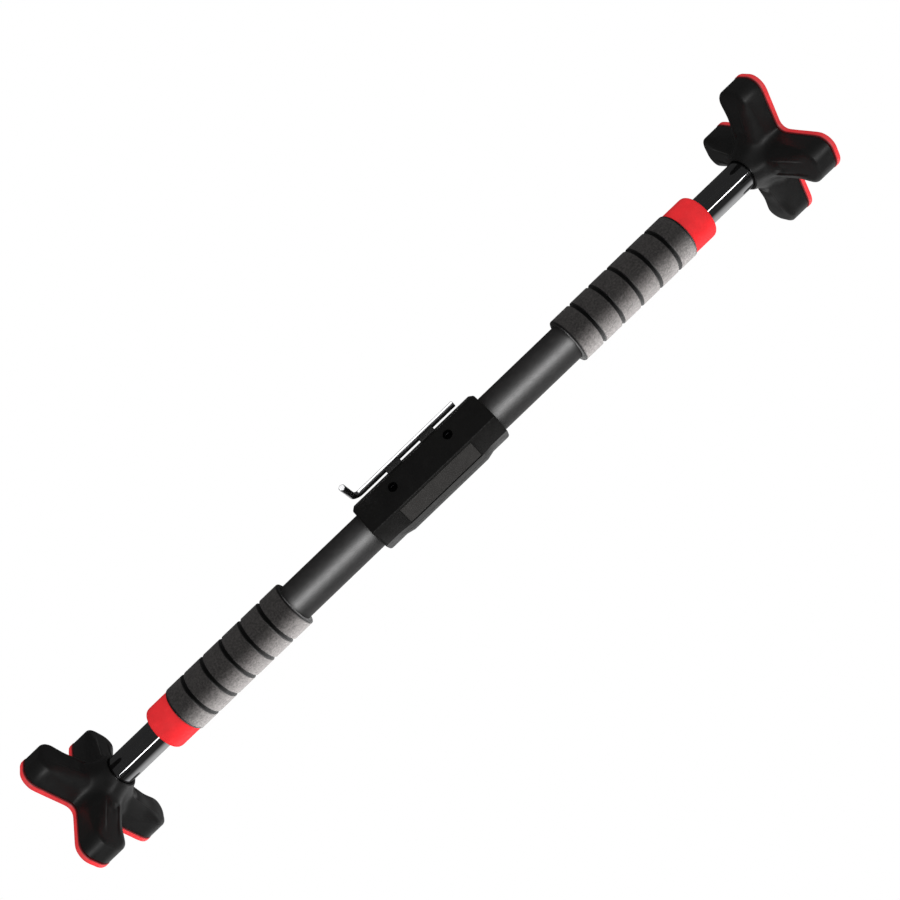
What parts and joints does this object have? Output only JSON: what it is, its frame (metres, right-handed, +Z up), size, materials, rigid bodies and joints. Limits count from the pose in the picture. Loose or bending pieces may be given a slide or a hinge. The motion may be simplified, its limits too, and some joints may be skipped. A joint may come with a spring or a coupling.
{
  "type": "pull up bar",
  "caption": "Telescopic doorway pull-up bar: screw-out arms, foam grips, a locking centre housing with stored hex key, and X-shaped rubber-soled end pads.",
  "frame": {"origin": "centre of the bar on its long axis, which is also the centre of its bounding box", "axes": "+X along the bar to its right end as a hanging person sees it, +Z up, -Y towards that person; the lock screws are in the front face and the label faces down and forwards"},
  "size_m": [0.738, 0.0996, 0.0996],
  "materials": {
    "black_plastic": "fine textured moulding",
    "pad_plastic": "satin moulding",
    "tube_paint": "matt charcoal powder coat",
    "inner_tube_paint": "gloss black coat",
    "foam": "closed-cell foam, matt",
    "red_plastic": "satin red moulding",
    "red_rubber": "matt red rubber",
    "label": "blank satin film",
    "zinc_steel": "bright zinc plate",
    "machined_steel": "turned",
    "cast_alloy": "as cast",
    "bronze": "turned",
    "nylon": "natural"
  },
  "bodies": {
    "housing": {"front_cover": "black_plastic", "rear_cover": "black_plastic", "label_plate": "label", "core_block": "cast_alloy", "cover_screw_1": "machined_steel", "cover_screw_2": "machined_steel", "cover_screw_3": "machined_steel", "cover_screw_4": "machined_steel", "left_journal_bush": "bronze", "right_journal_bush": "bronze", "left_lock_pad": "bronze", "right_lock_pad": "bronze"},
    "hex_key": {"hex_key": "zinc_steel"},
    "left_tube": {"left_outer_tube": "tube_paint", "left_foam_grip": "foam", "left_end_collar": "red_plastic", "left_spindle_plug": "machined_steel", "left_spindle": "machined_steel", "left_spindle_pin": "machined_steel", "left_guide_bush": "nylon"},
    "left_end": {"left_inner_tube": "inner_tube_paint", "left_spindle_nut": "bronze", "left_tail_bush": "nylon", "left_end_plug": "machined_steel", "left_pad_shell": "pad_plastic", "left_pad_sole": "red_rubber", "left_pad_bolt": "zinc_steel", "left_pad_washer": "zinc_steel"},
    "left_lock_washer": {"left_lock_washer": "machined_steel"},
    "left_lock_screw": {"left_lock_screw": "zinc_steel"},
    "right_tube": {"right_outer_tube": "tube_paint", "right_foam_grip": "foam", "right_end_collar": "red_plastic", "right_spindle_plug": "machined_steel", "right_spindle": "machined_steel", "right_spindle_pin": "machined_steel", "right_guide_bush": "nylon"},
    "right_end": {"right_inner_tube": "inner_tube_paint", "right_spindle_nut": "bronze", "right_tail_bush": "nylon", "right_end_plug": "machined_steel", "right_pad_shell": "pad_plastic", "right_pad_sole": "red_rubber", "right_pad_bolt": "zinc_steel", "right_pad_washer": "zinc_steel"},
    "right_lock_washer": {"right_lock_washer": "machined_steel"},
    "right_lock_screw": {"right_lock_screw": "zinc_steel"}
  },
  "joints": [
    {"name": "left_tube_turn", "type": "hinge", "parent": "housing", "child": "left_tube", "pos_m": [-0.048, 0, 0], "axis": [1, 0, 0], "range_deg": [-3600, 5400]},
    {"name": "left_end_slide", "type": "slide", "parent": "housing", "child": "left_end", "axis": [-1, 0, 0], "range_m": [-0.04, 0.06]},
    {"name": "left_lock_travel", "type": "slide", "parent": "housing", "child": "left_lock_washer", "axis": [0, -0.9715, 0.2368], "range_m": [0, 0.0015]},
    {"name": "left_lock_turn", "type": "hinge", "parent": "left_lock_washer", "child": "left_lock_screw", "pos_m": [-0.0285, -0.01083, 0.00624], "axis": [0, -0.9715, 0.2368], "range_deg": [0, 540]},
    {"name": "right_tube_turn", "type": "hinge", "parent": "housing", "child": "right_tube", "pos_m": [0.048, 0, 0], "axis": [-1, 0, 0], "range_deg": [-3600, 5400]},
    {"name": "right_end_slide", "type": "slide", "parent": "housing", "child": "right_end", "axis": [1, 0, 0], "range_m": [-0.04, 0.06]},
    {"name": "right_lock_travel", "type": "slide", "parent": "housing", "child": "right_lock_washer", "axis": [0, -0.9715, 0.2368], "range_m": [0, 0.0015]},
    {"name": "right_lock_turn", "type": "hinge", "parent": "right_lock_washer", "child": "right_lock_screw", "pos_m": [0.0285, -0.01083, 0.00624], "axis": [0, -0.9715, 0.2368], "range_deg": [0, 540]},
    {"name": "hex_key_lift", "type": "slide", "parent": "housing", "child": "hex_key", "axis": [0, -0.2807, 0.9598], "range_m": [0, 0.02]}
  ],
  "couplings": [
    {"joint": "left_end_slide", "follows": "left_tube_turn", "m_per_rad": 0.0006366},
    {"joint": "left_lock_turn", "follows": "left_lock_travel", "rad_per_m": 6283.2},
    {"joint": "right_end_slide", "follows": "right_tube_turn", "m_per_rad": 0.0006366},
    {"joint": "right_lock_turn", "follows": "right_lock_travel", "rad_per_m": 6283.2}
  ]
}
